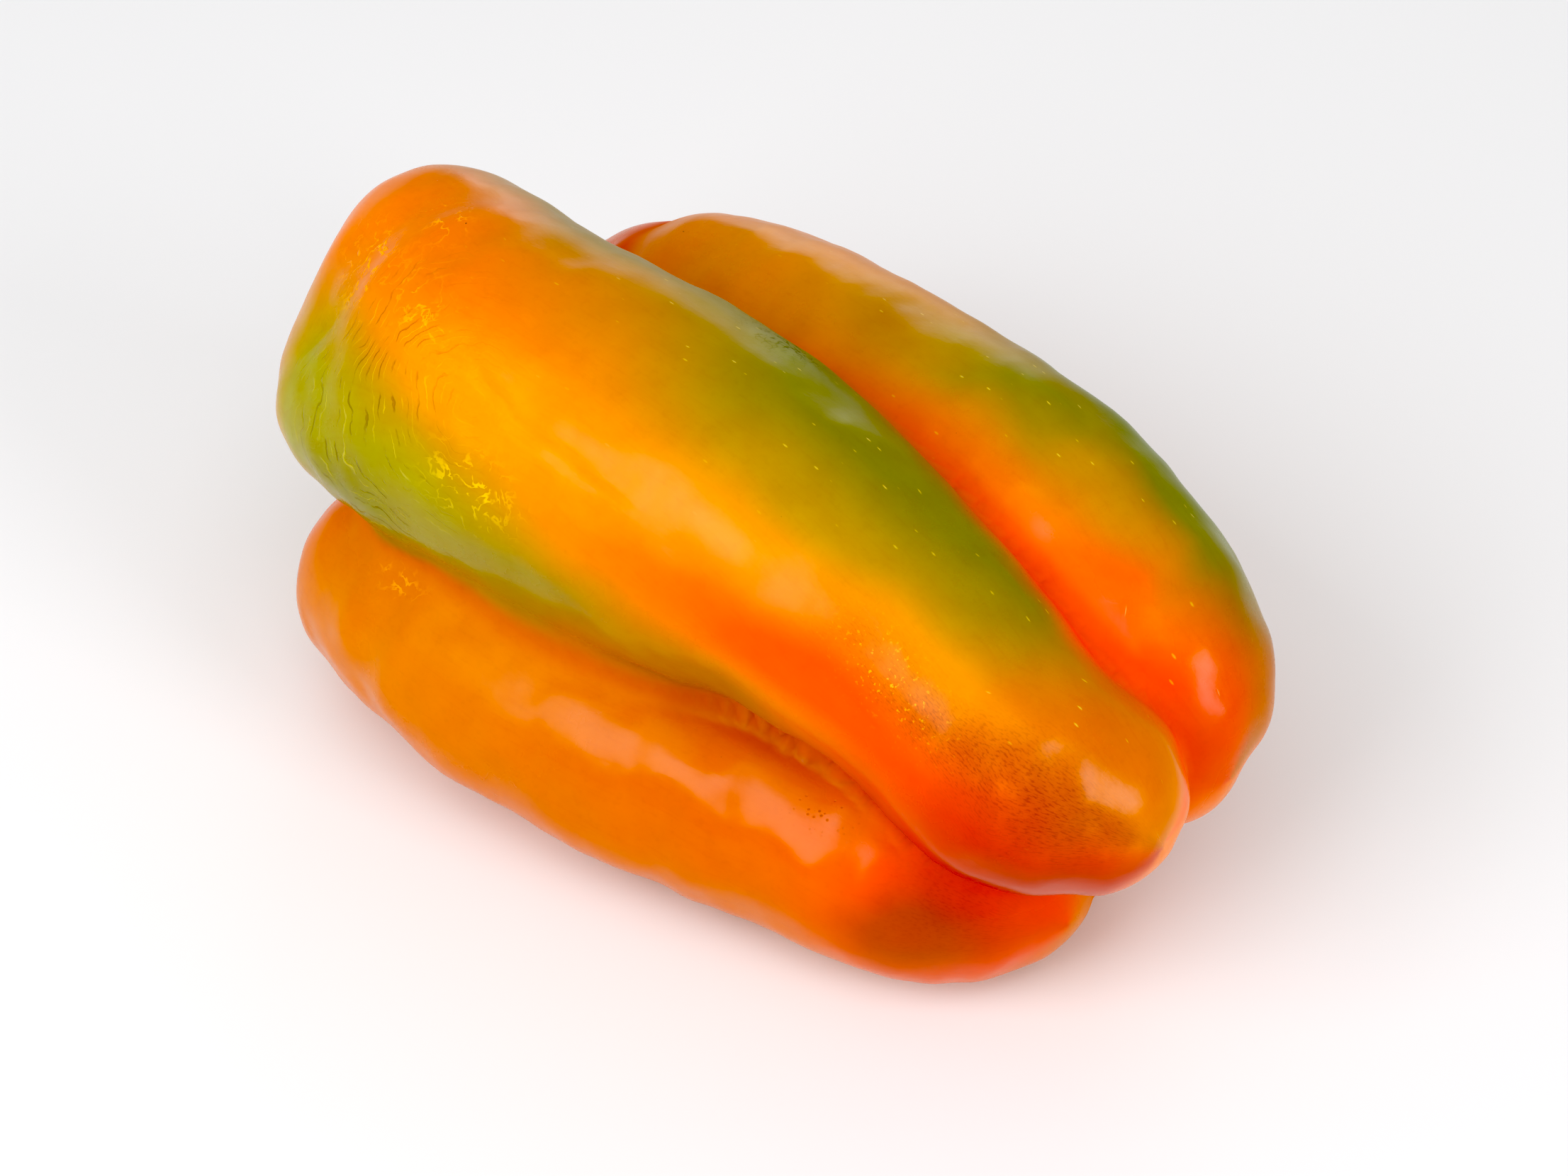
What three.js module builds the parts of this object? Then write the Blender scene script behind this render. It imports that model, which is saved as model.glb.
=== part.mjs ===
// A ripening bell pepper lying on its side: a four-lobed fruit, its calyx and a short cut stem.
// Millimetres, +Z up. +X runs from the stem end to the blossom end, and the pepper lies on the
// plane z = 0 on the flat spots of two lobes. The origin is the middle of its bounding box, on that
// plane. Each lobe is a string of balls, and the skin is the smooth union of the strings and a core,
// found along rays that fan out from the pepper's axis.
import * as THREE from "three";

// ---- Driving dimensions ----

// Balls along each lobe, from the stem end to the blossom end: centre x, y, z and radius.
const LOBES = {
  upperFront: [
    [-60, -6, 57.5, 15.5],
    [-37.5, -13.5, 55, 23.8],
    [-12.5, -9.5, 52, 25],
    [10, -7, 51.5, 21],
    [31, -6.2, 48.3, 17.7],
    [47, -6.5, 42.5, 17],
    [55.5, -2, 39.5, 14],
  ],
  stemShoulder: [
    [-63, -7.5, 56, 13],
    [-61.5, -17.5, 52, 12.8],
    [-57.5, -26, 48, 12],
    [-46, -23.5, 49, 16.2],
    [-30.5, -16.5, 52, 19],
  ],
  lowerFront: [
    [-51, -27.5, 16.5, 16],
    [-32.5, -28, 19, 19],
    [-11.5, -25, 18.2, 18.4],
    [8.5, -20.5, 18, 18],
    [28, -15, 17.3, 17.3],
    [39.5, -10, 16, 15.8],
    [43, -4, 15, 15],
  ],
  upperBack: [
    [-43.5, 29, 38.5, 15.6],
    [-26, 28.5, 42.5, 17.3],
    [-2, 27, 45.6, 17.4],
    [19, 25, 46.2, 18.2],
    [34.5, 24, 43, 18],
    [47, 21, 38.5, 17.3],
    [51, 16.5, 33.5, 14.6],
  ],
  lowerBack: [
    [-54.5, 28.5, 26, 19.3],
    [-36, 26.5, 20.5, 19.4],
    [-10, 21, 18.5, 18.5],
    [15, 18, 18, 18],
    [33, 14, 17, 17],
    [42, 11, 16, 15],
  ],
};
const CORE = [
  [-38, -1, 31, 22],
  [0, 4, 32, 17],
  [34, 6, 28, 10],
];
const BALLS_PER_SPAN = 3; // spline samples between two given balls
const FURROW_BLEND = 5; // width over which two lobes melt together
const CORE_BLEND = 11; // and the lobes into the core, which rounds the hollow at the stem end
const REST_CUT = 0.6; // depth of the flat spots that the pepper rests on
const ORIGIN = new THREE.Vector3(-9.6, 0.35, REST_CUT); // the part's origin among the balls

const AXIS_STEM = new THREE.Vector3(-26, -1, 31); // where the rays of the stem end fan out
const AXIS_BLOSSOM = new THREE.Vector3(36, 5, 31);
const FRUIT_COLUMNS = 84; // rays round the axis
const STEM_ROWS = 24; // rows from the stem end's pole to the straight part
const SIDE_ROWS = 18; // rows along the straight part
const BLOSSOM_ROWS = 13; // rows from there to the blossom end's pole
const FRUIT_ROWS = STEM_ROWS + SIDE_ROWS + BLOSSOM_ROWS;
const RAY_START = 120; // distance from the axis where a ray starts inwards

const GAP = 0.5; // between the fruit, the calyx and the stem
const CALYX_POINTS = 5;
const CALYX_TIP_TILT = 0.5; // angle at the fan's origin from the calyx's middle to a point
const CALYX_NOTCH_TILT = 0.33; // and to a notch between two points
const CALYX_THICKNESS = 2;
const CALYX_RIM = 0.7; // thickness at the edge
const CALYX_COLUMNS = 60;
const CALYX_RINGS = 7;
const STEM_FOOT_TILT = 0.19; // angle from the calyx's middle to the edge of the stem's foot
const STEM_RIDGES = 5;
const STEM_RIDGE_DEPTH = 0.07; // share of the radius
const STEM_CUT_DISH = 0.8; // how far the cut end is hollowed
const STEM_COLUMNS = 40;
const STEM_RINGS = 12;
// Middle line of the stem: distance out from its foot, shifts along Y and Z, and radius.
const STEM_LINE = [
  [3.5, 0, 0, 5.6],
  [8, 0.3, 0, 4.5],
  [13, 1.2, -0.5, 4.1],
  [18, 2.8, -1.4, 4.2],
  [23, 5, -2.8, 4.8],
];

// ---- Field: roughly the distance to the skin, negative inside ----

// A string of balls as short round cones along a smooth curve.
function roundCones(balls) {
  const centres = new THREE.CatmullRomCurve3(
    balls.map(([x, y, z]) => new THREE.Vector3(x, y, z)),
    false,
    "catmullrom",
  );
  const radii = new THREE.CatmullRomCurve3(
    balls.map((ball) => new THREE.Vector3(ball[3], 0, 0)),
    false,
    "catmullrom",
  );
  const spans = (balls.length - 1) * BALLS_PER_SPAN;
  const at = (i) => ({ c: centres.getPoint(i / spans), r: radii.getPoint(i / spans).x });
  return Array.from({ length: spans }, (_, i) => [at(i), at(i + 1)]);
}

// Signed distance to the hull of two balls.
function roundConeDistance(p, [a, b]) {
  const along = b.c.clone().sub(a.c);
  const offset = p.clone().sub(a.c);
  const length2 = along.lengthSq();
  const taper = a.r - b.r;
  const side2 = length2 - taper * taper;
  const y = offset.dot(along);
  const z = y - length2;
  const x2 = offset.multiplyScalar(length2).addScaledVector(along, -y).lengthSq();
  const k = Math.sign(taper) * taper * taper * x2;
  const y2 = y * y * length2;
  const z2 = z * z * length2;
  if (Math.sign(z) * side2 * z2 > k) return Math.sqrt(x2 + z2) / length2 - b.r;
  if (Math.sign(y) * side2 * y2 < k) return Math.sqrt(x2 + y2) / length2 - a.r;
  return (Math.sqrt((x2 * side2) / length2) + y * taper) / length2 - a.r;
}

const smoothMin = (a, b, width) => {
  const h = Math.max(width - Math.abs(a - b), 0) / width;
  return Math.min(a, b) - (h * h * width) / 4;
};

const lobeCones = Object.values(LOBES).map(roundCones);
const coreCones = roundCones(CORE);

function field(p) {
  const distance = (cones) => Math.min(...cones.map((cone) => roundConeDistance(p, cone)));
  const toLobes = lobeCones.map(distance).reduce((a, b) => smoothMin(a, b, FURROW_BLEND));
  return smoothMin(toLobes, distance(coreCones), CORE_BLEND);
}

// The point where the field has the value `level` along a ray, found from outside inwards.
function skinPoint(origin, direction, level = 0) {
  const p = new THREE.Vector3();
  let reach = RAY_START;
  for (let i = 0; i < 90; i++) {
    p.copy(origin).addScaledVector(direction, reach);
    const gap = field(p) - level;
    if (gap < 0.002) break;
    reach -= gap * 0.95;
  }
  return p;
}

// ---- Surfaces ----

// A unit vector tilted away from the X axis and turned from +Z towards -Y.
function fanDirection(side, tilt, angle) {
  const outward = new THREE.Vector3(0, -Math.sin(angle), Math.cos(angle));
  return new THREE.Vector3(side * Math.cos(tilt), 0, 0).addScaledVector(outward, Math.sin(tilt));
}

// Evenly spaced angles round the axis.
const turns = (count) => Array.from({ length: count }, (_, i) => (2 * Math.PI * i) / count);

// A closed surface from a pole, rings of points and a second pole, its faces pointing out.
function closedSurface(firstPole, rings, lastPole) {
  const points = [firstPole, ...rings.flat(), lastPole];
  const size = rings[0].length;
  const at = (ring, i) => 1 + ring * size + ((i + size) % size);
  const last = points.length - 1;
  const triangles = [];
  for (let i = 0; i < size; i++) {
    triangles.push(0, at(0, i + 1), at(0, i));
    triangles.push(last, at(rings.length - 1, i), at(rings.length - 1, i + 1));
    for (let ring = 0; ring + 1 < rings.length; ring++) {
      const [a, b, c, d] = [at(ring, i), at(ring, i + 1), at(ring + 1, i + 1), at(ring + 1, i)];
      const shortFirst = points[a].distanceTo(points[c]) < points[b].distanceTo(points[d]);
      if (shortFirst) triangles.push(a, b, c, a, c, d);
      else triangles.push(a, b, d, b, c, d);
    }
  }
  const geometry = new THREE.BufferGeometry().setFromPoints(points);
  geometry.setIndex(triangles);
  geometry.computeVertexNormals();
  return geometry;
}

// ---- Fruit ----

// Origin and direction of the ray in a row and at an angle. Rows fan out at both ends of the axis.
function skinRay(row, angle) {
  const quarter = Math.PI / 2;
  const fromBlossom = FRUIT_ROWS - row;
  if (row <= STEM_ROWS) return [AXIS_STEM, fanDirection(-1, (quarter * row) / STEM_ROWS, angle)];
  if (fromBlossom <= BLOSSOM_ROWS) {
    return [AXIS_BLOSSOM, fanDirection(1, (quarter * fromBlossom) / BLOSSOM_ROWS, angle)];
  }
  const share = (row - STEM_ROWS) / SIDE_ROWS;
  return [AXIS_STEM.clone().lerp(AXIS_BLOSSOM, share), fanDirection(0, quarter, angle)];
}

function fruitGeometry() {
  const rested = ([origin, direction]) => {
    const p = skinPoint(origin, direction);
    p.z = Math.max(p.z, REST_CUT);
    return p;
  };
  const rings = [];
  for (let row = 1; row < FRUIT_ROWS; row++) {
    rings.push(turns(FRUIT_COLUMNS).map((angle) => rested(skinRay(row, angle))));
  }
  return closedSurface(rested(skinRay(0, 0)), rings, rested(skinRay(FRUIT_ROWS, 0)));
}

// ---- Calyx: a thin star of fused sepals in the hollow of the stem end ----

// The point at a height over the skin, along a ray of the stem end's fan.
const overStemEnd = (tilt, angle, height) => skinPoint(AXIS_STEM, fanDirection(-1, tilt, angle), height);

// Tilt of the calyx's edge: pointed at the tips and round in the notches.
function calyxEdge(angle) {
  const towardsTip = 1 - Math.abs(Math.sin((CALYX_POINTS * angle) / 2));
  return CALYX_NOTCH_TILT + (CALYX_TIP_TILT - CALYX_NOTCH_TILT) * towardsTip;
}

function calyxGeometry() {
  const ring = (share, height) =>
    turns(CALYX_COLUMNS).map((angle) => overStemEnd(calyxEdge(angle) * share, angle, height));
  const dome = (share) => CALYX_RIM + (CALYX_THICKNESS - CALYX_RIM) * Math.sqrt(1 - share * share);
  const shares = Array.from({ length: CALYX_RINGS }, (_, i) => (i + 1) / CALYX_RINGS);
  const top = shares.map((share) => ring(share, GAP + dome(share)));
  const under = shares.map((share) => ring(share, GAP)).reverse();
  return closedSurface(overStemEnd(0, 0, GAP + dome(0)), [...top, ...under], overStemEnd(0, 0, GAP));
}

// ---- Stem: a ridged stalk with a flared foot on the calyx and a cut end ----

function stemGeometry() {
  const footHeight = CALYX_THICKNESS + 2 * GAP;
  const foot = overStemEnd(0, 0, footHeight);
  const line = new THREE.CatmullRomCurve3(
    STEM_LINE.map(([out, y, z]) => new THREE.Vector3(foot.x - out, foot.y + y, foot.z + z)),
  );
  const radii = new THREE.CatmullRomCurve3(STEM_LINE.map((stop) => new THREE.Vector3(stop[3], 0, 0)));
  const acrossStem = new THREE.Vector3(-1, 0, 0);
  const ring = (share, scale = 1, inset = 0) => {
    const tangent = line.getTangent(share);
    const centre = line.getPoint(share).addScaledVector(tangent, -inset);
    const turned = new THREE.Quaternion().setFromUnitVectors(acrossStem, tangent);
    return turns(STEM_COLUMNS).map((angle) => {
      const ridge = 1 + STEM_RIDGE_DEPTH * Math.cos(STEM_RIDGES * angle);
      const radius = radii.getPoint(share).x * scale * ridge;
      const offset = fanDirection(0, Math.PI / 2, angle).multiplyScalar(radius);
      return offset.applyQuaternion(turned).add(centre);
    });
  };
  const footRing = (share) =>
    turns(STEM_COLUMNS).map((angle) => overStemEnd(STEM_FOOT_TILT * share, angle, footHeight));
  const cutMiddle = line.getPoint(1).addScaledVector(line.getTangent(1), -STEM_CUT_DISH);
  const sides = Array.from({ length: STEM_RINGS }, (_, i) => ring(1 - i / (STEM_RINGS - 1)));
  const cut = [ring(1, 0.5, STEM_CUT_DISH), ring(1, 0.86, STEM_CUT_DISH * 0.3)];
  return closedSurface(cutMiddle, [...cut, ...sides, footRing(1), footRing(0.5)], foot);
}

// ---- The pepper ----

const piece = (name, geometry, color, roughness) => {
  const mesh = new THREE.Mesh(geometry, new THREE.MeshStandardMaterial({ color, roughness, metalness: 0 }));
  mesh.name = name;
  return mesh;
};

const pepper = new THREE.Group();
pepper.add(
  piece("fruit", fruitGeometry(), 0xe8760c, 0.3),
  piece("calyx", calyxGeometry(), 0x5f7a24, 0.6),
  piece("stem", stemGeometry(), 0x6d8733, 0.6),
);

for (const mesh of pepper.children) mesh.geometry.translate(-ORIGIN.x, -ORIGIN.y, -ORIGIN.z);

export default pepper;
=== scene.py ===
"""Looks of a ripening bell pepper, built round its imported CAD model.

The fruit's skin is pulled onto a smooth field: each lobe is a string of balls, as in the CAD model,
and the lobes melt together in the furrows. Undulations, dips and a fold are pushed into the mesh.
The colour zones of the ripening skin are painted on it by their place along and round each lobe,
and its material adds the fine wrinkles, scars and specks. Lengths are in millimetres until a mesh
is made, and the frame is the CAD model's.
"""

import functools
import itertools
import math

import bmesh
import bpy
import numpy as np
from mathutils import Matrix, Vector


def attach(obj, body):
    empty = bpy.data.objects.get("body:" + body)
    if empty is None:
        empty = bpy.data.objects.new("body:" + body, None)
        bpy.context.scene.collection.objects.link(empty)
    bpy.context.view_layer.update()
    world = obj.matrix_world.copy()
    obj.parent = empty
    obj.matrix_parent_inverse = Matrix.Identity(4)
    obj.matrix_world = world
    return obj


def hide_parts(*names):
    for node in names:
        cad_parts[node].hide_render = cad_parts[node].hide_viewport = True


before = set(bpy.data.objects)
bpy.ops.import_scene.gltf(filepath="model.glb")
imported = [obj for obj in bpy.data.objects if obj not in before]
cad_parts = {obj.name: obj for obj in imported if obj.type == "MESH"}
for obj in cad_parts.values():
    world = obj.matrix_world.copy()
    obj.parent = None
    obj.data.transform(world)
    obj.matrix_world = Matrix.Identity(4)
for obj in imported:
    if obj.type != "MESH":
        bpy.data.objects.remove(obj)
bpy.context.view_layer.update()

MM = 0.001

# ---- Shape of the fruit: the CAD model's balls along each lobe, as centre x, y, z and radius ----

LOBES = {
    "upper_front": [
        (-60, -6, 57.5, 15.5),
        (-37.5, -13.5, 55, 23.8),
        (-12.5, -9.5, 52, 25),
        (10, -7, 51.5, 21),
        (31, -6.2, 48.3, 17.7),
        (47, -6.5, 42.5, 17),
        (55.5, -2, 39.5, 14),
    ],
    "stem_shoulder": [
        (-63, -7.5, 56, 13),
        (-61.5, -17.5, 52, 12.8),
        (-57.5, -26, 48, 12),
        (-46, -23.5, 49, 16.2),
        (-30.5, -16.5, 52, 19),
    ],
    "lower_front": [
        (-51, -27.5, 16.5, 16),
        (-32.5, -28, 19, 19),
        (-11.5, -25, 18.2, 18.4),
        (8.5, -20.5, 18, 18),
        (28, -15, 17.3, 17.3),
        (39.5, -10, 16, 15.8),
        (43, -4, 15, 15),
    ],
    "upper_back": [
        (-43.5, 29, 38.5, 15.6),
        (-26, 28.5, 42.5, 17.3),
        (-2, 27, 45.6, 17.4),
        (19, 25, 46.2, 18.2),
        (34.5, 24, 43, 18),
        (47, 21, 38.5, 17.3),
        (51, 16.5, 33.5, 14.6),
    ],
    "lower_back": [
        (-54.5, 28.5, 26, 19.3),
        (-36, 26.5, 20.5, 19.4),
        (-10, 21, 18.5, 18.5),
        (15, 18, 18, 18),
        (33, 14, 17, 17),
        (42, 11, 16, 15),
    ],
}
CORE = [(-38, -1, 31, 22), (0, 4, 32, 17), (34, 6, 28, 10)]
BALLS_PER_SPAN = 3
SOFT_FURROW, CRISP_FURROW = 6.5, 2.2  # widths over which lobes melt: stem half, blossom half
FURROW_CHANGE = (-15, 20)  # where along the pepper the width changes
CORE_BLEND = 11
REST_CUT = 0.6
ORIGIN = np.array((-9.6, 0.35, REST_CUT))  # the CAD model's origin in the balls' frame
SKIN_INSET = 0.12  # keeps the smooth skin inside the CAD model's facets and box
VOXEL = 0.75  # edge length of the skin's mesh
PULLS = 3  # steps that bring the mesh onto the field


def spline(values, steps):
    """Uniform Catmull-Rom spline through rows of values, with `steps` samples for each span."""
    v = np.array(values, float)
    v = np.vstack([2 * v[0] - v[1], v, 2 * v[-1] - v[-2]])
    out = []
    for i in range(1, len(v) - 2):
        for t in np.arange(steps) / steps:
            a, b, c, d = v[i - 1 : i + 3]
            out.append(
                b
                + t * (c - a) / 2
                + t * t * (a - 2.5 * b + 2 * c - d / 2)
                + t**3 * (1.5 * (b - c) + (d - a) / 2)
            )
    return np.array(out + [v[-2]])


def round_cone_distance(p, a, b):
    """Signed distance from points p to the hull of two balls, given as x, y, z and radius."""
    along, taper = b[:3] - a[:3], a[3] - b[3]
    offset = p - a[:3]
    length2 = along @ along
    side2 = length2 - taper * taper
    y = offset @ along
    z = y - length2
    x2 = ((offset * length2 - y[:, None] * along) ** 2).sum(1)
    k = np.sign(taper) * taper * taper * x2
    y2, z2 = y * y * length2, z * z * length2
    middle = (np.sqrt(x2 * side2 / length2) + y * taper) / length2 - a[3]
    near = np.where(np.sign(y) * side2 * y2 < k, np.sqrt(x2 + y2) / length2 - a[3], middle)
    return np.where(np.sign(z) * side2 * z2 > k, np.sqrt(x2 + z2) / length2 - b[3], near)


def string_distance(p, balls):
    balls = spline(balls, BALLS_PER_SPAN)
    return np.min([round_cone_distance(p, a, b) for a, b in zip(balls, balls[1:])], axis=0)


def rise_smoothly(value, low, high):
    """0 below low, 1 above high, smooth between."""
    t = np.clip((value - low) / (high - low), 0, 1)
    return t * t * (3 - 2 * t)


def smooth_min(a, b, width):
    h = np.maximum(width - abs(a - b), 0) / width
    return np.minimum(a, b) - h * h * width / 4


def lobe_distances(p):
    return {name: string_distance(p, balls) for name, balls in LOBES.items()}


def field(p):
    """Roughly the distance from points p to the smooth skin, negative inside."""
    lobes = list(lobe_distances(p).values())
    width = SOFT_FURROW + (CRISP_FURROW - SOFT_FURROW) * rise_smoothly(p[:, 0], *FURROW_CHANGE)
    joined = lobes[0]
    for lobe in lobes[1:]:
        joined = smooth_min(joined, lobe, width)
    return smooth_min(joined, string_distance(p, CORE), CORE_BLEND) + SKIN_INSET


def outward(p, step=0.05):
    """Unit normals of the field at points p."""
    here = field(p)
    slope = np.stack([field(p + shift) - here for shift in np.eye(3) * step], axis=1)
    return slope / np.linalg.norm(slope, axis=1, keepdims=True)


def smooth_noise(p, size, seed):
    """Smooth random values from -1 to 1, with features about `size` across."""
    lattice = np.random.default_rng(seed).uniform(-1, 1, (32, 32, 32))
    q = p / size + 100
    base = np.floor(q).astype(int)
    f = q - base
    f = f * f * (3 - 2 * f)
    total = np.zeros(len(p))
    for corner in itertools.product((0, 1), repeat=3):
        weight = np.prod(np.where(corner, f, 1 - f), axis=1)
        total += weight * lattice[tuple(((base + corner) % 32).T)]
    return total


# ---- Mesh helpers ----


def new_object(name, data):
    obj = bpy.data.objects.new(name, data)
    bpy.context.scene.collection.objects.link(obj)
    return obj


def remeshed_node(node, voxel):
    """A closed, even mesh of quads with the shape of a CAD node, and its points in millimetres."""
    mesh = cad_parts[node].data.copy()
    mesh.materials.clear()
    bm = bmesh.new()
    bm.from_mesh(mesh)
    bmesh.ops.remove_doubles(bm, verts=bm.verts, dist=1e-6)
    bm.to_mesh(mesh)
    bm.free()
    source = new_object(node + "_source", mesh)
    remesh = source.modifiers.new("remesh", "REMESH")
    remesh.mode = "VOXEL"
    remesh.voxel_size = voxel * MM
    evaluated = source.evaluated_get(bpy.context.evaluated_depsgraph_get())
    result = bpy.data.meshes.new_from_object(evaluated)
    bpy.data.objects.remove(source)
    bpy.data.meshes.remove(mesh)
    return result, points_of(result)


def points_of(mesh):
    co = np.empty(len(mesh.vertices) * 3)
    mesh.vertices.foreach_get("co", co)
    return co.reshape(-1, 3) / MM


def normals_of(mesh):
    vectors = np.empty(len(mesh.vertices) * 3)
    mesh.vertex_normals.foreach_get("vector", vectors)
    return vectors.reshape(-1, 3)


def set_points(mesh, points):
    mesh.vertices.foreach_set("co", (points * MM).ravel())
    mesh.update()
    mesh.shade_smooth()


def add_attribute(mesh, name, kind, values):
    layer = mesh.attributes.new(name, kind, "POINT")
    key = {"FLOAT": "value", "FLOAT_VECTOR": "vector", "FLOAT_COLOR": "color"}[kind]
    layer.data.foreach_set(key, np.asarray(values, np.float32).ravel())


# ---- Places on the skin: how far along a lobe, and the angle round it from its top ----


def round_lobe(p, lobe):
    """Angle in degrees round a lobe's middle line: 0 on top, positive towards the front."""
    balls = np.array(LOBES[lobe])
    y = np.interp(p[:, 0], balls[:, 0], balls[:, 1])
    z = np.interp(p[:, 0], balls[:, 0], balls[:, 2])
    return np.degrees(np.arctan2(y - p[:, 1], p[:, 2] - z))


def four_lobe_distances(p):
    """Distances to the four lobes, with the stem shoulder counted as part of its lobe."""
    to = lobe_distances(p)
    to["upper_front"] = np.minimum(to["upper_front"], to.pop("stem_shoulder"))
    return to


def lobe_shares(p, softness=0.9):
    """How much each point belongs to each of the four lobes."""
    to = four_lobe_distances(p)
    weight = {name: np.exp(-distance / softness) for name, distance in to.items()}
    total = sum(weight.values()) + 1e-30
    return {name: value / total for name, value in weight.items()}


def bump(value, middle, half_width):
    """1 at the middle, falling smoothly to about a third at half_width."""
    return np.exp(-(((value - middle) / half_width) ** 2))


# ---- Colours of the skin ----


def srgb(red, green, blue):
    """Linear colour of an sRGB colour given as 0 to 255."""
    c = np.array((red, green, blue)) / 255
    return np.where(c <= 0.04045, c / 12.92, ((c + 0.055) / 1.055) ** 2.4)


COLOURS = {
    "orange": (238, 118, 0),
    "amber": (212, 111, 4),
    "bright_orange": (243, 126, 0),
    "deep_orange": (214, 101, 2),
    "yellow": (248, 146, 2),
    "olive_yellow": (190, 140, 4),
    "olive": (176, 118, 12),
    "yellow_green": (166, 158, 44),
    "moss": (150, 136, 48),
    "khaki": (150, 122, 40),
    "ochre_green": (166, 134, 6),
    # pale apricot used as a painted highlight on the big lobe
    "apricot": (252, 154, 48),
    "brick": (218, 70, 4),
    "tan": (212, 124, 24),
    "honey": (216, 120, 8),
    "green": (126, 124, 6),
    "deep_green": (98, 116, 14),
    "brown_orange": (212, 128, 10),
    "rust": (178, 70, 12),
    "red_orange": (255, 86, 0),
    "red": (226, 60, 6),
    # dark red used as painted shade under the big lobe
    "deep_red": (186, 46, 12),
}

# Zones painted in order over a lobe's own colour: lobe, colour, middle and half length along the
# pepper, middle and half width of the angle round the lobe, strength. Lengths are in the balls'
# frame.
ZONES = [
    ("upper_front", "orange", -48, 26, 0, 50, 0.9),
    ("upper_front", "khaki", -32, 36, -49, 31, 1.0),
    ("upper_front", "yellow", -26, 22, 48, 20, 0.9),
    ("upper_front", "olive_yellow", -38, 20, 74, 16, 0.9),
    ("upper_front", "yellow_green", -54, 14, 95, 22, 1.0),
    ("upper_front", "yellow_green", -34, 19, 94, 22, 1.0),
    ("upper_front", "green", -42, 14, 112, 20, 0.8),
    ("upper_front", "moss", -16, 20, 100, 19, 1.0),
    ("upper_front", "olive", 8, 17, 114, 22, 1.0),
    # painted shade: dark red along the crease under the big lobe
    ("upper_front", "deep_red", 44, 14, 130, 34, 0.9),
    ("upper_front", "olive_yellow", 16, 30, 6, 27, 1.0),
    ("upper_front", "ochre_green", 26, 34, -6, 20, 0.9),
    ("upper_front", "green", 12, 26, -28, 27, 1.0),
    ("upper_front", "deep_green", -2, 12, -44, 14, 0.7),
    # painted highlight: paler apricot bands along the big lobe's ridge
    ("upper_front", "apricot", 14, 16, 44, 12, 0.6),
    ("upper_front", "apricot", 46, 14, 28, 10, 0.5),
    ("upper_front", "green", 36, 14, -26, 17, 0.8),
    ("upper_front", "tan", 66, 8, 20, 50, 0.7),
    # painted highlight at the big lobe's tip
    ("upper_front", "apricot", 62, 8, 27, 13, 0.6),
    ("upper_front", "amber", 62, 13, 5, 38, 0.8),
    ("upper_front", "red_orange", 50, 18, -66, 18, 1.0),
    ("upper_front", "red_orange", 30, 21, 70, 17, 1.0),
    ("upper_front", "red", 54, 14, 84, 22, 0.9),
    # painted shadow: dark red under the big lobe's tip
    ("upper_front", "deep_red", 60, 13, 112, 34, 1.0),
    ("upper_back", "brown_orange", -28, 32, 15, 60, 0.9),
    ("upper_back", "olive_yellow", 2, 18, -2, 26, 0.9),
    ("upper_back", "green", 20, 14, -10, 22, 0.9),
    ("upper_back", "olive_yellow", 36, 16, 2, 18, 0.8),
    ("upper_back", "green", 42, 24, -38, 22, 1.0),
    ("upper_back", "deep_green", 26, 32, -58, 24, 0.9),
    ("upper_back", "red_orange", 26, 34, 57, 18, 1.0),
    ("upper_back", "red_orange", 55, 16, 26, 24, 0.9),
    ("upper_back", "brick", 66, 11, 30, 80, 0.8),
    ("upper_back", "olive", -7, 8, -2, 20, 0.7),
    ("upper_back", "deep_orange", -10, 60, -130, 40, 0.8),
    ("lower_front", "honey", -36, 22, 40, 50, 0.8),
    ("lower_front", "deep_orange", 26, 24, 60, 46, 0.9),
    # painted shade: darker red-brown on the lower front lobe's top, under the big lobe
    ("lower_front", "rust", 16, 30, 6, 13, 0.5),
    ("lower_front", "red_orange", -68, 7, 0, 80, 0.5),
    ("lower_front", "red_orange", 50, 14, 50, 60, 0.9),
    ("lower_front", "red", 56, 12, 60, 70, 1.0),
    ("lower_front", "rust", 47, 8, 76, 22, 0.9),
    ("lower_front", "deep_orange", -10, 60, 140, 40, 0.8),
    ("lower_back", "red", -48, 16, -10, 60, 0.8),
    ("lower_back", "olive_yellow", 0, 30, -80, 30, 0.8),
    ("lower_back", "green", 14, 16, -70, 16, 0.7),
    ("lower_back", "red", 50, 12, 0, 90, 0.9),
]
ZONE_GAIN = 1.35  # fills the middle of a zone and keeps its soft rim
ZONE_WANDER = 2.5, 9  # millimetres that a zone's ends stray by, and over what length
ZONE_TURN_WANDER = 4, 8  # degrees that its sides stray by, and over what length
LOBE_COLOURS = {
    "upper_front": "bright_orange",
    "lower_front": "amber",
    "upper_back": "orange",
    "lower_back": "deep_orange",
}

WRINKLE_CENTRE = (-27, 21)  # millimetres along the pepper and round the big lobe
WRINKLE_SPACING = 2.3
FURROW_HALF_WIDTH = 3.5  # of the duller strip along a furrow, darkened there with painted shade
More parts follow.
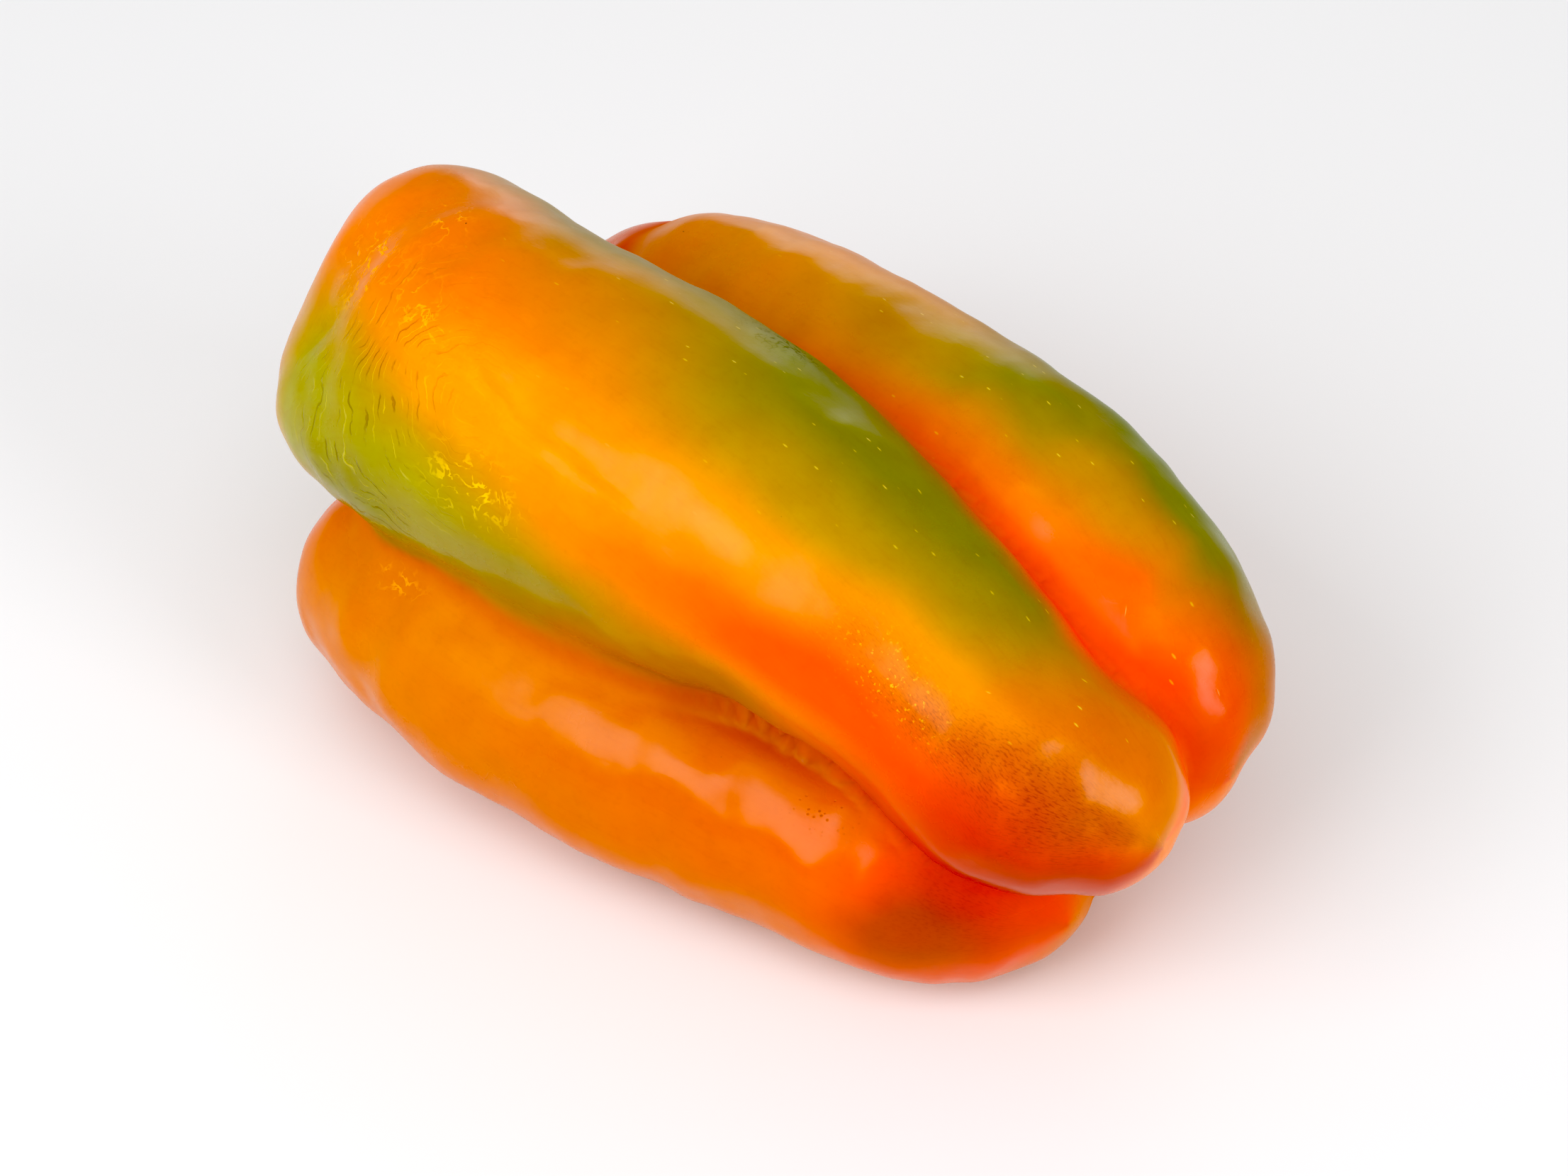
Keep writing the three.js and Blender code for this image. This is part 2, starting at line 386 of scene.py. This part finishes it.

# Where each kind of mark grows: lobe, middle and half length along the pepper, middle and half
# width of the angle round the lobe, strength.
MARKS = {
    "bronze": [
        ("upper_front", 47, 19, 45, 15, 0.9),
        ("upper_front", 62, 9, 58, 30, 0.9),
        ("lower_front", 50, 7, 60, 28, 0.5),
    ],
    "gold_specks": [("upper_front", 38, 8, 44, 13, 1.0)],
    "dashes": [
        ("upper_front", 12, 48, -14, 38, 1.0),
        ("upper_front", 60, 12, -10, 50, 0.9),
        ("upper_back", 24, 44, 0, 50, 1.0),
        ("lower_back", 0, 60, -80, 50, 0.7),
    ],
    "wrinkles": [
        ("upper_front", -43, 12, 60, 32, 1.0),
        ("upper_front", -42, 12, 94, 20, 1.0),
    ],
    "scars": [
        ("upper_front", -58, 6, 50, 14, 1.3),
        ("upper_front", -52, 4, 11, 8, 1.2),
        ("upper_front", -42, 7, 36, 9, 0.7),
        ("upper_front", -23, 6, 73, 9, 1.3),
        ("lower_front", -38, 4, 30, 6, 0.7),
    ],
    "cracks": [("upper_front", -6, 5, -42, 11, 1.0)],
    "pores": [("lower_front", 30.5, 3.5, 33, 8, 1.0)],
    "waxy": [
        ("upper_front", -22, 40, -40, 32, 1.0),
        ("upper_front", -34, 20, 50, 40, 1.0),
        ("upper_front", 20, 44, 40, 40, 0.7),
        ("upper_back", 0, 60, -25, 45, 0.6),
        ("lower_front", -21, 15, 35, 45, 1.0),
    ],
}


def zone_weight(along, angle, middle, half_length, middle_angle, half_angle):
    turn = (angle - middle_angle + 180) % 360 - 180  # the shorter way round the lobe
    return bump(along, middle, half_length) * bump(turn, 0, half_angle)


def skin_colours(p, shares):
    """Colour of each point of the skin, blended as sRGB and returned as linear."""
    wander, size = ZONE_WANDER
    along = p[:, 0] + wander * smooth_noise(p, size, seed=11)
    turn_wander, size = ZONE_TURN_WANDER
    turn = turn_wander * smooth_noise(p, size, seed=12)
    colour = sum(shares[name][:, None] * COLOURS[base] for name, base in LOBE_COLOURS.items())
    for lobe, tint, *zone, strength in ZONES:
        weight = zone_weight(along, round_lobe(p, lobe) + turn, *zone)
        weight = (np.clip(ZONE_GAIN * weight * strength, 0, 1) * shares[lobe])[:, None]
        colour = colour * (1 - weight) + np.array(COLOURS[tint]) * weight
    return srgb(*colour.T).T


def furrow_depth(p):
    """1 where two lobes are equally near, falling to 0 beside the furrow."""
    nearest, second = np.sort(list(four_lobe_distances(p).values()), axis=0)[:2]
    return bump(second - nearest, 0, FURROW_HALF_WIDTH)


def mark_shares(p, shares):
    """How strongly each kind of mark shows at each point, from 0 to 1."""
    marks = {}
    for mark, zones in MARKS.items():
        total = 0
        for lobe, *zone, strength in zones:
            total += strength * shares[lobe] * zone_weight(p[:, 0], round_lobe(p, lobe), *zone)
        marks[mark] = np.clip(total, 0, 1)
    return marks


def lobe_places(p, shares):
    """Millimetres along the pepper and round the lobe that each point belongs to."""
    round_it = np.zeros(len(p))
    for lobe, share in shares.items():
        balls = np.array(LOBES[lobe])
        radius = np.interp(p[:, 0], balls[:, 0], balls[:, 3])
        round_it += np.where(share > 0.5, np.radians(round_lobe(p, lobe)) * radius, 0)
    return np.stack([p[:, 0], round_it, np.zeros(len(p))], axis=1)


# ---- Materials ----


class Nodes:
    """Short names for making and linking shader nodes in one material."""

    def __init__(self, name):
        self.material = bpy.data.materials.new(name)
        self.material.use_nodes = True
        self.tree = self.material.node_tree
        self.tree.nodes.clear()
        self.shader = self.make("ShaderNodeBsdfPrincipled")
        output = self.make("ShaderNodeOutputMaterial")
        self.link(self.shader.outputs[0], output.inputs["Surface"])
        self.object_place = self.make("ShaderNodeTexCoord").outputs["Object"]

    def make(self, kind, **settings):
        node = self.tree.nodes.new(kind)
        for key, value in settings.items():
            setattr(node, key, value)
        return node

    def link(self, value, socket):
        if isinstance(value, bpy.types.NodeSocket):
            self.tree.links.new(value, socket)
        else:
            socket.default_value = value

    def math(self, operation, a, b=0.0):
        node = self.make("ShaderNodeMath", operation=operation)
        self.link(a, node.inputs[0])
        self.link(b, node.inputs[1])
        return node.outputs[0]

    def times(self, *factors):
        return functools.reduce(functools.partial(self.math, "MULTIPLY"), factors)

    def plus(self, *terms):
        return functools.reduce(functools.partial(self.math, "ADD"), terms)

    def attribute(self, name, output="Fac"):
        return self.make("ShaderNodeAttribute", attribute_name=name).outputs[output]

    def noise(self, size_mm, detail=2.0, distortion=0.0):
        """Noise from 0 to 1 with features about size_mm across."""
        node = self.make("ShaderNodeTexNoise")
        node.inputs["Scale"].default_value = 1 / (size_mm * MM)
        node.inputs["Detail"].default_value = detail
        node.inputs["Distortion"].default_value = distortion
        self.link(self.object_place, node.inputs["Vector"])
        return node.outputs["Fac"]

    def ramp(self, value, low, high):
        """0 below low, 1 above high, smooth between."""
        node = self.make("ShaderNodeMapRange", interpolation_type="SMOOTHSTEP")
        self.link(value, node.inputs["Value"])
        node.inputs["From Min"].default_value = low
        node.inputs["From Max"].default_value = high
        return node.outputs["Result"]

    def mix(self, factor, a, b, blend="MIX"):
        """Colour a changed by b, each a socket or a linear colour, as far as the factor says."""
        node = self.make("ShaderNodeMix", data_type="RGBA", blend_type=blend)
        self.link(factor, node.inputs["Factor"])
        for value, socket in ((a, node.inputs[6]), (b, node.inputs[7])):
            self.link(value if isinstance(value, bpy.types.NodeSocket) else (*value, 1), socket)
        return node.outputs[2]

    def bump(self, height_mm):
        node = self.make("ShaderNodeBump")
        node.inputs["Distance"].default_value = MM
        node.inputs["Strength"].default_value = 1.0
        self.link(height_mm, node.inputs["Height"])
        return node.outputs["Normal"]

    def set(self, **sockets):
        """Values or sockets for the shader's inputs, with _ for each space in a name."""
        for name, value in sockets.items():
            self.link(value, self.shader.inputs[name.replace("_", " ")])


def cells(n, place, size_mm, feature="F1"):
    """Distance to the nearest cell point, or to the nearest cell edge, in cell sizes."""
    node = n.make("ShaderNodeTexVoronoi", feature=feature)
    node.inputs["Scale"].default_value = 1 / size_mm
    n.link(place, node.inputs["Vector"])
    return node.outputs["Distance"]


def stretched(n, place, along, round_it=1):
    """Places scaled along and round the lobe: a scale under 1 draws a texture out that way."""
    node = n.make("ShaderNodeVectorMath", operation="MULTIPLY")
    n.link(place, node.inputs[0])
    node.inputs[1].default_value = (along, round_it, 1)
    return node.outputs["Vector"]


def strands(n, place, along, per_mm, detail):
    """Noise drawn out along the lobe."""
    node = n.make("ShaderNodeTexNoise")
    node.inputs["Scale"].default_value = per_mm
    node.inputs["Detail"].default_value = detail
    n.link(stretched(n, place, along), node.inputs["Vector"])
    return node.outputs["Fac"]


def wrinkle_edges(n, place, share):
    """Dark and pale edges of fine wrinkles that follow arcs round a place on the big lobe."""
    split = n.make("ShaderNodeSeparateXYZ")
    n.link(place, split.inputs[0])
    across = n.math("ADD", split.outputs[0], -WRINKLE_CENTRE[0])
    around = n.math("ADD", split.outputs[1], -WRINKLE_CENTRE[1])
    reach = n.math("SQRT", n.plus(n.math("POWER", across, 2), n.math("POWER", around, 2)))
    reach = n.plus(reach, n.times(n.noise(8, 2), 6), n.times(n.noise(2.2, 2), 1.3))
    wave = n.math("SINE", n.times(reach, 2 * math.pi / WRINKLE_SPACING))
    patchy = n.times(n.ramp(n.noise(3.4, 4), 0.42, 0.62), share)
    return n.times(n.ramp(wave, 0.93, 0.995), patchy), n.times(n.ramp(wave, -0.93, -0.995), patchy)


def skin_material():
    n = Nodes("pepper_skin")
    place = n.attribute("lobe_place", "Vector")
    marks = {mark: n.attribute(mark) for mark in MARKS}
    furrow = n.attribute("furrow")

    def spots(mark, size, edge, core, along=1):
        near = cells(n, stretched(n, place, along), size)
        return n.times(n.ramp(near, edge, core), marks[mark])

    def lines(mark, size, width, distortion=0.4):
        """Broken winding lines where a noise passes through its middle."""
        away = n.math("ABSOLUTE", n.math("SUBTRACT", n.noise(size, 3, distortion), 0.5))
        line = n.ramp(away, width, width * 0.3)
        broken = n.ramp(n.noise(size * 0.6, 2), 0.4, 0.56)
        return n.times(line, broken, marks[mark])

    patches = n.ramp(n.noise(4.5, detail=5), 0.3, 0.75)
    grain = n.noise(1.1, detail=3)
    fibre = strands(n, place, 0.12, per_mm=1.6, detail=3)
    bristle = strands(n, place, 0.35, per_mm=4.5, detail=2)
    tinge = n.times(n.ramp(n.noise(5, 3), 0.05, 0.6), marks["bronze"])
    bronze = n.times(n.ramp(bristle, 0.46, 0.7), tinge)
    gold = n.times(n.ramp(n.noise(0.55, 3), 0.6, 0.7), marks["gold_specks"])
    dashes = spots("dashes", 1.7, 0.1, 0.05, along=0.35)
    pores = spots("pores", 0.9, 0.22, 0.12)
    scars = lines("scars", 3.2, 0.032)
    dark_edge, pale_edge = wrinkle_edges(n, place, marks["wrinkles"])
    cracks = n.ramp(cells(n, place, 0.9, "DISTANCE_TO_EDGE"), 0.13, 0.02)
    cracks = n.times(cracks, marks["cracks"], n.ramp(n.noise(1.5), 0.4, 0.6))
    dots = n.ramp(cells(n, place, 8), 0.022, 0.012)

    colour = n.attribute("skin_colour", "Color")
    for share, strength, tint, blend in (
        (patches, 0.25, (236, 212, 190), "MULTIPLY"),
        (n.ramp(grain, 0.5, 0.75), 0.14, (225, 215, 200), "MULTIPLY"),
        (n.ramp(fibre, 0.5, 0.75), 0.14, (240, 205, 160), "MULTIPLY"),
        (tinge, 0.85, (208, 170, 124), "MULTIPLY"),
        (bronze, 0.5, (165, 104, 62), "MULTIPLY"),
        (gold, 0.7, (255, 196, 30), "MIX"),
        (dashes, 0.6, (236, 206, 96), "MIX"),
        (pores, 0.7, (150, 50, 8), "MIX"),
        (scars, 1, (150, 130, 40), "ADD"),
        (dark_edge, 0.5, (176, 140, 80), "MULTIPLY"),
        (pale_edge, 0.9, (120, 110, 40), "ADD"),
        (cracks, 0.8, (48, 66, 20), "MIX"),
        (dots, 0.8, (84, 44, 16), "MIX"),
        # painted shade: darkens and reddens the skin along the furrows
        (furrow, 0.35, (225, 165, 120), "MULTIPLY"),
    ):
        colour = n.mix(n.times(share, strength), colour, srgb(*tint), blend)

    heights = (  # layer, and its rise in millimetres
        (n.noise(1.7, detail=2), 0.022),
        (n.noise(0.6, detail=2), 0.007),
        (grain, 0.008),
        (fibre, 0.01),
        (dark_edge, -0.14),
        (pale_edge, 0.06),
        (scars, 0.07),
        (dashes, 0.02),
        (pores, -0.05),
        (cracks, -0.1),
    )
    dull = n.plus(scars, cracks, n.times(marks["waxy"], 0.75), n.times(furrow, 2))
    n.set(
        Base_Color=colour,
        Normal=n.bump(n.plus(*(n.times(layer, rise) for layer, rise in heights))),
        Roughness=n.plus(n.times(n.noise(2.5, detail=3), 0.12), 0.17, n.times(dull, 0.3)),
        IOR=1.38,
        Subsurface_Weight=0.1,
        Subsurface_Radius=(1.0, 0.35, 0.1),
        Subsurface_Scale=2 * MM,
    )
    return n.material


def calyx_material():
    n = Nodes("calyx_green")
    mottle = n.ramp(n.noise(1.8, detail=5), 0.3, 0.75)
    colour = n.mix(mottle, srgb(92, 122, 34), srgb(122, 146, 52))
    colour = n.mix(n.times(n.attribute("rib"), 0.7), colour, srgb(160, 172, 92))
    colour = n.mix(n.times(n.attribute("rim"), 0.75), colour, srgb(122, 104, 46))
    specks = n.ramp(n.noise(0.35, detail=2), 0.62, 0.72)
    colour = n.mix(n.times(specks, 0.5), colour, srgb(66, 84, 28))
    grain = n.plus(n.times(n.noise(0.4, detail=4), 0.08), n.times(n.noise(1.6, detail=3), 0.12))
    n.set(
        Base_Color=colour,
        Normal=n.bump(grain),
        Roughness=n.plus(n.times(mottle, 0.15), 0.5),
        Specular_IOR_Level=0.35,
    )
    return n.material


def stem_material():
    n = Nodes("stem_green")
    cut, ring, groove = (n.attribute(name) for name in ("cut", "ring", "groove"))
    mottle = n.ramp(n.noise(2.2, detail=5), 0.3, 0.75)
    flecks = n.ramp(n.noise(0.5, detail=3), 0.6, 0.75)
    green = n.mix(mottle, srgb(98, 126, 40), srgb(134, 156, 66))
    green = n.mix(n.times(groove, 0.55), green, srgb(70, 94, 30))
    green = n.mix(n.times(flecks, 0.5), green, srgb(168, 160, 96))
    pith = n.mix(n.noise(0.5, detail=4), srgb(226, 214, 160), srgb(176, 158, 98))
    pith = n.mix(n.ramp(ring, 0.55, 0.72), pith, srgb(150, 160, 84))
    pith = n.mix(n.ramp(ring, 0.86, 1.0), pith, srgb(120, 96, 50))
    pith = n.mix(n.ramp(ring, 0.34, 0.16), pith, srgb(196, 170, 112))
    n.set(
        Base_Color=n.mix(cut, green, pith),
        Normal=n.bump(n.times(n.noise(0.4, detail=4), 0.1)),
        Roughness=n.plus(n.times(cut, 0.3), 0.52),
        Specular_IOR_Level=0.35,
    )
    return n.material


# ---- Fruit ----

# Unevenness of the whole skin: size and height in millimetres, and the noise's seed.
UNDULATIONS = [(13, 0.5, 1), (6.5, 0.3, 2), (3.6, 0.12, 3)]
BACK_LOBE_UNDULATION = 8, 0.5, 5
DIPS = [(-36, 6, 0.9), (10, 6, 0.9), (26, 9, 1.3)]  # lower front lobe: middle, half length, depth
DIP_BEND = 10, 3, 6
HOLLOW = (-25, 12, 60, 24)  # on the big lobe: middle, half length, middle angle, half angle
HOLLOW_DEPTH = 1.3
# A fold on the big lobe: where its line starts, its angle there, and its turn in degrees for each
# millimetre along the pepper. It fades out from its middle.
FOLD_START, FOLD_ANGLE, FOLD_TURN = -40, 35, 0.46
FOLD_BEND = 5, 3, 4
FOLD_MIDDLE, FOLD_HALF_LENGTH = -22, 14
FOLD_CREASE = 0.5, 1.1  # depth and half width
FOLD_STEP, FOLD_STEP_WIDTH, FOLD_REACH = 0.32, 3, 9
MM_PER_DEGREE = 0.42  # round the big lobe
SKIN_SINK, HIGHEST_RISE = 0.35, 0.1  # keep the uneven skin inside the CAD model


def undulation(p, size, height, seed):
    return height * smooth_noise(p, size, seed)


def relief(p, shares):
    """How far the skin rises over the smooth field, in millimetres."""
    rise = sum(undulation(p, *wave) for wave in UNDULATIONS)
    rise += shares["upper_back"] * undulation(p, *BACK_LOBE_UNDULATION)
    bent = p[:, 0] + undulation(p, *DIP_BEND)
    for middle, half_length, depth in DIPS:
        rise -= shares["lower_front"] * depth * bump(bent, middle, half_length)

    big_lobe, angle = shares["upper_front"], round_lobe(p, "upper_front")
    rise -= big_lobe * HOLLOW_DEPTH * zone_weight(p[:, 0], angle, *HOLLOW)
    line = FOLD_ANGLE + FOLD_TURN * (p[:, 0] - FOLD_START) + undulation(p, *FOLD_BEND)
    below = (angle - line) * MM_PER_DEGREE
    crease_depth, crease_half_width = FOLD_CREASE
    fold = crease_depth * bump(below, 0, crease_half_width)
    fold += FOLD_STEP * np.tanh(below / FOLD_STEP_WIDTH) * bump(below, 0, FOLD_REACH)
    rise -= big_lobe * bump(p[:, 0], FOLD_MIDDLE, FOLD_HALF_LENGTH) * fold
    return np.minimum(rise - SKIN_SINK, HIGHEST_RISE)


def fruit_skin():
    mesh, p = remeshed_node("fruit", VOXEL)
    p = p + ORIGIN
    normal = outward(p)
    for _ in range(PULLS):
        p -= field(p)[:, None] * normal
    shares = lobe_shares(p)
    p += relief(p, shares)[:, None] * outward(p)
    p[:, 2] = np.maximum(p[:, 2], REST_CUT)
    colours = np.c_[skin_colours(p, shares), np.ones(len(p))]
    add_attribute(mesh, "skin_colour", "FLOAT_COLOR", colours)
    add_attribute(mesh, "lobe_place", "FLOAT_VECTOR", lobe_places(p, shares))
    for mark, share in mark_shares(p, shares).items():
        add_attribute(mesh, mark, "FLOAT", share)
    add_attribute(mesh, "furrow", "FLOAT", furrow_depth(p))
    set_points(mesh, p - ORIGIN)
    mesh.materials.append(skin_material())
    return new_object("pepper_fruit", mesh)


# ---- Calyx and stem ----

CALYX_VOXEL, STEM_VOXEL = 0.35, 0.3
GREEN_AXIS = np.array((-16.4, -1.35, 30.4))  # where the CAD model's rays to the calyx start
CALYX_POINTS = 5
CALYX_TIP_TILT, CALYX_NOTCH_TILT = 0.5, 0.33  # radians from the axis
RIB_HALF_WIDTH, VEIN_HALF_WIDTH = 0.8, 0.35
VEINS_START = 0.3  # share of the way from the stem to the calyx's edge
STEM_FOOT_X = -54
# Along the stem: millimetres out from its foot, and offsets in y and z.
STEM_LINE = np.array([(0, 0, 0), (8, 0.3, 0), (13, 1.2, -0.5), (18, 2.8, -1.4), (23, 5, -2.8)])
OUT_IS_MINUS_X = (-1, 1, 1)  # turns a step of the stem's line into x, y and z
STEM_RADIUS = 4.9  # at the cut
STEM_GROOVES = 13
CUT_FROM = 17  # nothing nearer the foot belongs to the cut end


def calyx_piece():
    mesh, p = remeshed_node("calyx", CALYX_VOXEL)
    normal = normals_of(mesh)
    offset = p - GREEN_AXIS
    angle = np.arctan2(-offset[:, 1], offset[:, 2])
    radius = np.hypot(offset[:, 1], offset[:, 2])
    sector = np.sin(CALYX_POINTS * angle / 2)
    edge = CALYX_NOTCH_TILT + (CALYX_TIP_TILT - CALYX_NOTCH_TILT) * (1 - abs(sector))
    share = np.arctan2(radius, -offset[:, 0]) / edge
    to_rib = radius * np.arcsin(sector) * 2 / CALYX_POINTS
    veins = np.sin(2 * CALYX_POINTS * angle + 0.6 * smooth_noise(p, 5, seed=21))
    to_vein = radius * veins / (2 * CALYX_POINTS)
    vein = 0.4 * bump(to_vein, 0, VEIN_HALF_WIDTH) * (share > VEINS_START)
    rib = np.clip(bump(to_rib, 0, RIB_HALF_WIDTH) + vein, 0, 1)
    rim = rise_smoothly(share, 0.86, 1)
    rise = 0.4 * rib * (1.1 - np.clip(share, 0, 1)) + 0.3 * rim + 0.25 * smooth_noise(p, 4, seed=22)
    rise += 0.08 * smooth_noise(p, 1.3, seed=23)
    faces_out = np.clip(-1.5 * normal[:, 0], 0, 1)  # 0 on the side that lies on the fruit
    p += (rise * faces_out)[:, None] * normal
    add_attribute(mesh, "rib", "FLOAT", rib)
    add_attribute(mesh, "rim", "FLOAT", rim)
    set_points(mesh, p)
    mesh.materials.append(calyx_material())
    return new_object("pepper_calyx", mesh)


def stem_piece():
    mesh, p = remeshed_node("stem", STEM_VOXEL)
    normal = normals_of(mesh)
    out = STEM_FOOT_X - p[:, 0]
    y = GREEN_AXIS[1] + np.interp(out, STEM_LINE[:, 0], STEM_LINE[:, 1])
    z = GREEN_AXIS[2] + np.interp(out, STEM_LINE[:, 0], STEM_LINE[:, 2])
    angle = np.arctan2(y - p[:, 1], p[:, 2] - z)
    groove = rise_smoothly(np.cos(STEM_GROOVES * angle + 1.2 * smooth_noise(p, 6, seed=31)), 0.1, 1)
    way = (STEM_LINE[-1] - STEM_LINE[-2]) * OUT_IS_MINUS_X
    way = way / np.linalg.norm(way)
    cut_middle = np.array((STEM_FOOT_X, *GREEN_AXIS[1:])) + STEM_LINE[-1] * OUT_IS_MINUS_X
    cut = rise_smoothly(normal @ way, 0.55, 0.85) * (out > CUT_FROM)
    from_cut = p - cut_middle
    ring = np.linalg.norm(from_cut - (from_cut @ way)[:, None] * way, axis=1) / STEM_RADIUS
    rise = (1 - cut) * (-0.2 * groove + 0.12 * smooth_noise(p, 3, seed=32))
    rise += cut * 0.15 * smooth_noise(p, 0.9, seed=33)
    p += rise[:, None] * normal
    for name, values in (("cut", cut), ("ring", ring), ("groove", groove * (1 - cut))):
        add_attribute(mesh, name, "FLOAT", values)
    set_points(mesh, p)
    mesh.materials.append(stem_material())
    return new_object("pepper_stem", mesh)


for piece, node, slot in (
    (fruit_skin(), "fruit", "skin"),
    (calyx_piece(), "calyx", "calyx"),
    (stem_piece(), "stem", "stem"),
):
    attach(piece, "root")
    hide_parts(node)


# ---- Floor, lights and camera ----

FLOOR_HALF_SIZE = 3  # metres
LOOK_AT = Vector((9.6, -0.35, 33)) * MM
CAMERA_AZIMUTH, CAMERA_ELEVATION, CAMERA_DISTANCE = 45.3, 46, 0.42  # degrees and metres
LENS = 70
# Name, azimuth and elevation in degrees, then distance, width and height in metres, and watts.
SOFTBOXES = [
    ("front_window", -8, 38, 0.9, 0.6, 0.58, 4.6),
    ("overhead", 38, 68, 1.1, 1.0, 0.4, 2.6),
    ("side_window", 97, 24, 0.9, 0.3, 0.5, 3),
    ("back_window", 217, 10, 0.9, 0.45, 0.35, 1.0),
]
WORLD_STRENGTH = 0.52
# Deepens the shadows of each colour channel, which gives the photo's saturated colours.
BLACK_LEVEL = (0.03, 0.045, 0.07)


def floor():
    bm = bmesh.new()
    bmesh.ops.create_grid(bm, x_segments=2, y_segments=2, size=FLOOR_HALF_SIZE)
    mesh = bpy.data.meshes.new("floor")
    bm.to_mesh(mesh)
    bm.free()
    n = Nodes("white_table")
    n.set(Base_Color=(0.86, 0.86, 0.87, 1), Roughness=0.6)
    mesh.materials.append(n.material)
    obj = new_object("floor", mesh)


def direction(azimuth, elevation):
    """Unit vector from the middle of the scene: azimuth 0 is the front and 90 the blossom end."""
    a, e = math.radians(azimuth), math.radians(elevation)
    return Vector((math.sin(a) * math.cos(e), -math.cos(a) * math.cos(e), math.sin(e)))


def facing_pepper(name, data, azimuth, elevation, distance):
    """A light or a camera that looks at the pepper from that direction."""
    obj = new_object(name, data)
    back = direction(azimuth, elevation)
    obj.location = LOOK_AT + back * distance
    obj.rotation_euler = back.to_track_quat("Z", "Y").to_euler()
    return obj


def softbox(name, azimuth, elevation, distance, width, height, power):
    light = bpy.data.lights.new(name, "AREA")
    light.shape = "RECTANGLE"
    light.size, light.size_y = width, height
    light.energy = power
    facing_pepper(name, light, azimuth, elevation, distance)


def camera():
    data = bpy.data.cameras.new("camera")
    data.lens = LENS
    data.sensor_width = 36
    place = CAMERA_AZIMUTH, CAMERA_ELEVATION, CAMERA_DISTANCE
    bpy.context.scene.camera = facing_pepper("camera", data, *place)


def surroundings():
    scene = bpy.context.scene
    scene.view_settings.view_transform = "Standard"
    scene.view_settings.use_curve_mapping = True
    scene.view_settings.curve_mapping.black_level = BLACK_LEVEL
    world = bpy.data.worlds.new("studio")
    world.use_nodes = True
    background = world.node_tree.nodes["Background"]
    background.inputs["Color"].default_value = (1, 1, 1, 1)
    background.inputs["Strength"].default_value = WORLD_STRENGTH
    scene.world = world


floor()
surroundings()
for box in SOFTBOXES:
    softbox(*box)
camera()
